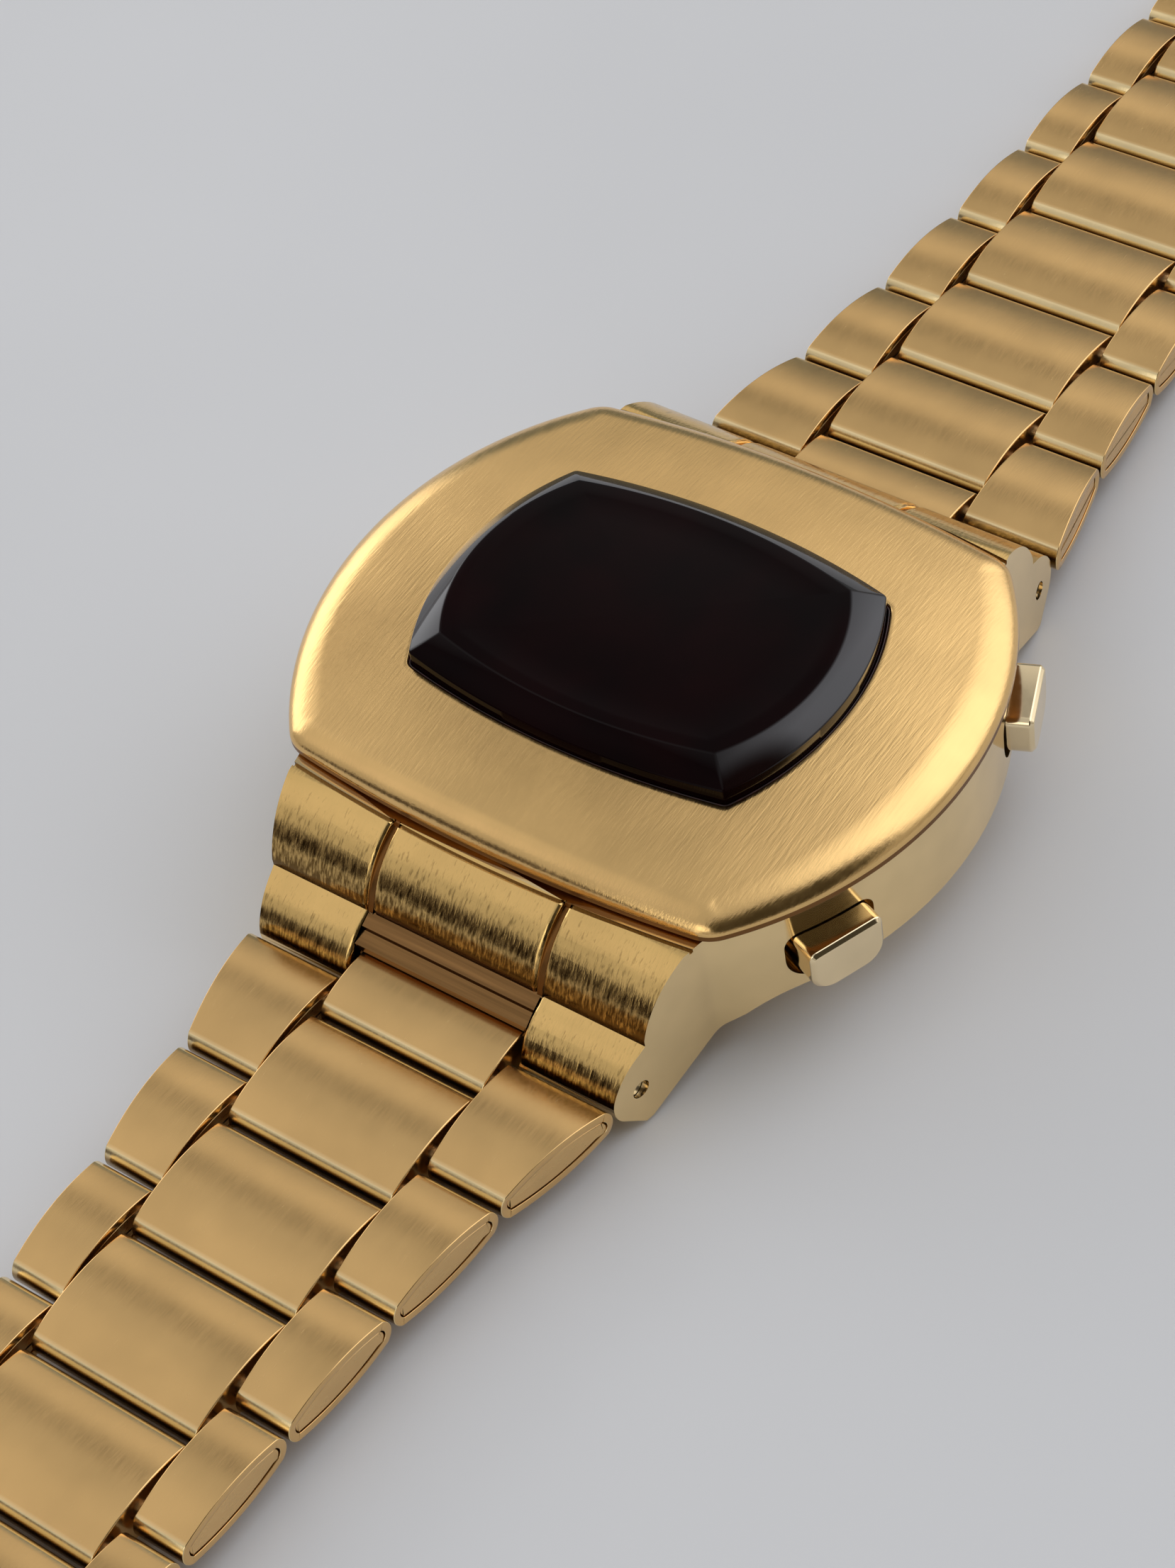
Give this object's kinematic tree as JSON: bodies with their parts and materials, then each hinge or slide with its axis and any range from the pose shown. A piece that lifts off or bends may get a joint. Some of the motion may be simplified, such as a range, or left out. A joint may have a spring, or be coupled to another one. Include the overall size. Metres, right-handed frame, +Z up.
{
  "type": "led wristwatch",
  "caption": "Gold cushion-cased LED wristwatch with a dark red crystal, two side pushers and a folded-link bracelet, laid open and flat.",
  "frame": {"origin": "centre of the case back's flat outer face, on the table", "axes": "+Z up through the crystal, +X towards 3 o'clock, where the two pushers are, +Y along the bracelet towards 12 o'clock; the clasp is at the far -Y end"},
  "size_m": [0.0394, 0.1957, 0.0142],
  "materials": {
    "gold_case": "brushed gold plate",
    "gold_bracelet": "satin gold plate",
    "dark_red_crystal": "polished, almost black dark red filter",
    "black_rubber": "matt",
    "module_plastic": "moulded",
    "board_green": "lacquered board",
    "display_red": "moulded lens",
    "steel_parts": "fine satin"
  },
  "bodies": {
    "case": {"case_body": "gold_case", "top_shell": "gold_case", "crystal": "dark_red_crystal", "crystal_gasket": "black_rubber", "case_back": "gold_case", "case_back_gasket": "black_rubber", "module_frame": "module_plastic", "circuit_board": "board_green", "led_display": "display_red", "battery_cells": "steel_parts", "battery_contact": "steel_parts", "pusher_2h_spring": "steel_parts", "pusher_4h_spring": "steel_parts", "spring_bars": "steel_parts"},
    "pusher_2h_body": {"pusher_2h": "gold_case", "pusher_2h_clip": "steel_parts"},
    "pusher_4h_body": {"pusher_4h": "gold_case", "pusher_4h_clip": "steel_parts"},
    "end_link_12h_body": {"end_link_12h": "gold_bracelet"},
    "row_12h_1": {"outer_links_12h_1": "gold_bracelet", "centre_link_12h_1": "gold_bracelet"},
    "row_12h_2": {"outer_links_12h_2": "gold_bracelet", "centre_link_12h_2": "gold_bracelet"},
    "row_12h_3": {"outer_links_12h_3": "gold_bracelet", "centre_link_12h_3": "gold_bracelet"},
    "row_12h_4": {"outer_links_12h_4": "gold_bracelet", "centre_link_12h_4": "gold_bracelet"},
    "row_12h_5": {"outer_links_12h_5": "gold_bracelet", "centre_link_12h_5": "gold_bracelet"},
    "row_12h_6": {"outer_links_12h_6": "gold_bracelet", "centre_link_12h_6": "gold_bracelet"},
    "row_12h_7": {"outer_links_12h_7": "gold_bracelet", "centre_link_12h_7": "gold_bracelet"},
    "end_link_6h_body": {"end_link_6h": "gold_bracelet"},
    "row_6h_1": {"outer_links_6h_1": "gold_bracelet", "centre_link_6h_1": "gold_bracelet"},
    "row_6h_2": {"outer_links_6h_2": "gold_bracelet", "centre_link_6h_2": "gold_bracelet"},
    "row_6h_3": {"outer_links_6h_3": "gold_bracelet", "centre_link_6h_3": "gold_bracelet"},
    "row_6h_4": {"outer_links_6h_4": "gold_bracelet", "centre_link_6h_4": "gold_bracelet"},
    "row_6h_5": {"outer_links_6h_5": "gold_bracelet", "centre_link_6h_5": "gold_bracelet"},
    "row_6h_6": {"outer_links_6h_6": "gold_bracelet", "centre_link_6h_6": "gold_bracelet"},
    "row_6h_7": {"outer_links_6h_7": "gold_bracelet", "centre_link_6h_7": "gold_bracelet"},
    "clasp_cover_body": {"clasp_cover": "gold_bracelet", "clasp_hinge_bar": "steel_parts", "clasp_end_pin": "steel_parts"},
    "clasp_blade_outer_body": {"clasp_blade_outer": "steel_parts", "clasp_fold_pin": "steel_parts"},
    "clasp_blade_inner_body": {"clasp_blade_inner": "steel_parts", "release_bar": "steel_parts"}
  },
  "joints": [
    {"name": "pusher_2h_press", "type": "slide", "parent": "case", "child": "pusher_2h_body", "axis": [-0.9272, -0.3746, 0], "range_m": [0, 0.0008], "stiffness_N_per_m": 400, "springref_m": -0.0005, "deforming": ["pusher_2h_spring"]},
    {"name": "pusher_4h_press", "type": "slide", "parent": "case", "child": "pusher_4h_body", "axis": [-0.9272, 0.3746, 0], "range_m": [0, 0.0008], "stiffness_N_per_m": 400, "springref_m": -0.0005, "deforming": ["pusher_4h_spring"]},
    {"name": "end_link_12h_swing", "type": "hinge", "parent": "case", "child": "end_link_12h_body", "pos_m": [0, 0.02036, 0.0031], "axis": [-1, 0, 0], "range_deg": [-5, 15]},
    {"name": "row_12h_1_hinge", "type": "hinge", "parent": "end_link_12h_body", "child": "row_12h_1", "pos_m": [0, 0.0239, 0.00299], "axis": [-1, 0, 0], "range_deg": [-5, 16]},
    {"name": "row_12h_2_hinge", "type": "hinge", "parent": "row_12h_1", "child": "row_12h_2", "pos_m": [0, 0.03189, 0.00275], "axis": [-1, 0, 0], "range_deg": [-5, 16]},
    {"name": "row_12h_3_hinge", "type": "hinge", "parent": "row_12h_2", "child": "row_12h_3", "pos_m": [0, 0.03989, 0.00251], "axis": [-1, 0, 0], "range_deg": [-5, 16]},
    {"name": "row_12h_4_hinge", "type": "hinge", "parent": "row_12h_3", "child": "row_12h_4", "pos_m": [0, 0.04789, 0.00226], "axis": [-1, 0, 0], "range_deg": [-5, 16]},
    {"name": "row_12h_5_hinge", "type": "hinge", "parent": "row_12h_4", "child": "row_12h_5", "pos_m": [0, 0.05588, 0.00202], "axis": [-1, 0, 0], "range_deg": [-5, 16]},
    {"name": "row_12h_6_hinge", "type": "hinge", "parent": "row_12h_5", "child": "row_12h_6", "pos_m": [0, 0.06388, 0.00178], "axis": [-1, 0, 0], "range_deg": [-5, 16]},
    {"name": "row_12h_7_hinge", "type": "hinge", "parent": "row_12h_6", "child": "row_12h_7", "pos_m": [0, 0.07188, 0.00154], "axis": [-1, 0, 0], "range_deg": [-5, 16]},
    {"name": "end_link_6h_swing", "type": "hinge", "parent": "case", "child": "end_link_6h_body", "pos_m": [0, -0.02036, 0.0031], "axis": [1, 0, 0], "range_deg": [-5, 15]},
    {"name": "row_6h_1_hinge", "type": "hinge", "parent": "end_link_6h_body", "child": "row_6h_1", "pos_m": [0, -0.0239, 0.0031], "axis": [1, 0, 0], "range_deg": [-5, 16]},
    {"name": "row_6h_2_hinge", "type": "hinge", "parent": "row_6h_1", "child": "row_6h_2", "pos_m": [0, -0.0319, 0.0031], "axis": [1, 0, 0], "range_deg": [-5, 16]},
    {"name": "row_6h_3_hinge", "type": "hinge", "parent": "row_6h_2", "child": "row_6h_3", "pos_m": [0, -0.0399, 0.0031], "axis": [1, 0, 0], "range_deg": [-5, 16]},
    {"name": "row_6h_4_hinge", "type": "hinge", "parent": "row_6h_3", "child": "row_6h_4", "pos_m": [0, -0.0479, 0.0031], "axis": [1, 0, 0], "range_deg": [-5, 16]},
    {"name": "row_6h_5_hinge", "type": "hinge", "parent": "row_6h_4", "child": "row_6h_5", "pos_m": [0, -0.0559, 0.0031], "axis": [1, 0, 0], "range_deg": [-5, 16]},
    {"name": "row_6h_6_hinge", "type": "hinge", "parent": "row_6h_5", "child": "row_6h_6", "pos_m": [0, -0.0639, 0.0031], "axis": [1, 0, 0], "range_deg": [-5, 16]},
    {"name": "row_6h_7_hinge", "type": "hinge", "parent": "row_6h_6", "child": "row_6h_7", "pos_m": [0, -0.0719, 0.0031], "axis": [1, 0, 0], "range_deg": [-5, 16]},
    {"name": "clasp_cover_hinge", "type": "hinge", "parent": "row_6h_7", "child": "clasp_cover_body", "pos_m": [0, -0.0799, 0.0031], "axis": [1, 0, 0], "range_deg": [-5, 10]},
    {"name": "clasp_outer_blade_open", "type": "hinge", "parent": "clasp_cover_body", "child": "clasp_blade_outer_body", "pos_m": [0, -0.1114, 0.0033], "axis": [-1, 0, 0], "range_deg": [0, 110]},
    {"name": "clasp_inner_blade_open", "type": "hinge", "parent": "clasp_blade_outer_body", "child": "clasp_blade_inner_body", "pos_m": [0, -0.0851, 0.00258], "axis": [1, 0, 0], "range_deg": [0, 120]}
  ]
}
